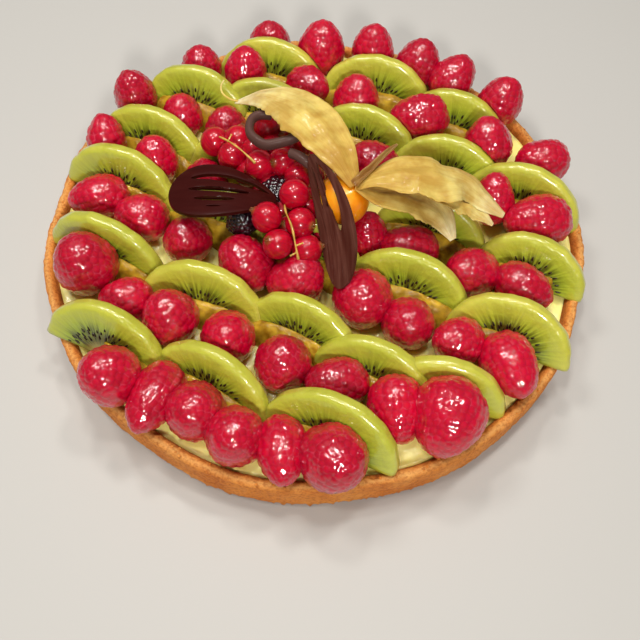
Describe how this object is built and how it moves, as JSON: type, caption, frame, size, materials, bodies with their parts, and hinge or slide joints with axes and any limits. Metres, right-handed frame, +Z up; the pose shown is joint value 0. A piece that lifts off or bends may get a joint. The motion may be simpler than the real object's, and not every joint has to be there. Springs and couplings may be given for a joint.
{
  "type": "fruit tart",
  "caption": "Round fruit tart: a shortcrust shell filled with custard, topped with rows of raspberries and kiwi half slices, with currants, a physalis and chocolate leaves.",
  "frame": {"origin": "middle of the tart's flat underside", "axes": "+Z up through the fruit; the picture's viewer stands on the -Y side, +X is to their right"},
  "size_m": [0.2222, 0.2239, 0.0628],
  "materials": {
    "shortcrust": "baked shortcrust, dry, golden brown and finely pitted",
    "custard": "smooth pale yellow cream under a thin glaze",
    "raspberry": "glazed red drupelets, glossy",
    "kiwi": "wet green flesh with fine rays and dark seeds",
    "currant": "shiny translucent red skin",
    "dark_berry": "glossy near-black drupelets",
    "physalis": "smooth shiny orange skin",
    "husk": "dry papery straw-coloured leaf with veins",
    "chocolate": "dark chocolate, satin"
  },
  "bodies": {
    "root": {"chocolate_flat": "chocolate", "chocolate_upright": "chocolate", "crust": "shortcrust", "currants": "currant", "custard": "custard", "dark_berry_1": "dark_berry", "dark_berry_2": "dark_berry", "kiwi_0_1": "kiwi", "kiwi_0_2": "kiwi", "kiwi_1_1": "kiwi", "kiwi_2_1": "kiwi", "kiwi_2_2": "kiwi", "kiwi_2_3": "kiwi", "kiwi_2_4": "kiwi", "kiwi_3_1": "kiwi", "kiwi_3_2": "kiwi", "kiwi_4_1": "kiwi", "kiwi_4_2": "kiwi", "kiwi_5_1": "kiwi", "kiwi_5_2": "kiwi", "kiwi_5_3": "kiwi", "physalis_fruit": "physalis", "physalis_husk": "husk", "raspberries_0_1_2": "raspberry", "raspberries_0_3_4": "raspberry", "raspberries_0_5_6": "raspberry", "raspberries_1_2_3": "raspberry", "raspberries_1_5_6": "raspberry", "raspberries_2_1_2": "raspberry", "raspberries_2_4_5": "raspberry", "raspberries_2_6_7": "raspberry", "raspberries_2_8_9": "raspberry", "raspberries_3_4_5": "raspberry", "raspberries_3_6_7": "raspberry", "raspberries_4_4_5": "raspberry", "raspberries_4_6_7": "raspberry", "raspberries_4_8_9": "raspberry", "raspberries_6_4_5": "raspberry", "raspberry_1_1": "raspberry", "raspberry_1_4": "raspberry", "raspberry_1_7": "raspberry", "raspberry_1_8": "raspberry", "raspberry_2_3": "raspberry", "raspberry_3_1": "raspberry", "raspberry_3_2": "raspberry", "raspberry_3_3": "raspberry", "raspberry_4_1": "raspberry", "raspberry_4_2": "raspberry", "raspberry_4_3": "raspberry", "raspberry_5_1": "raspberry", "raspberry_5_2": "raspberry", "raspberry_5_3": "raspberry", "raspberry_5_4": "raspberry", "raspberry_5_5": "raspberry", "raspberry_5_6": "raspberry", "raspberry_5_7": "raspberry", "raspberry_6_1": "raspberry", "raspberry_6_2": "raspberry", "raspberry_6_3": "raspberry", "raspberry_6_6": "raspberry"}
  },
  "joints": []
}
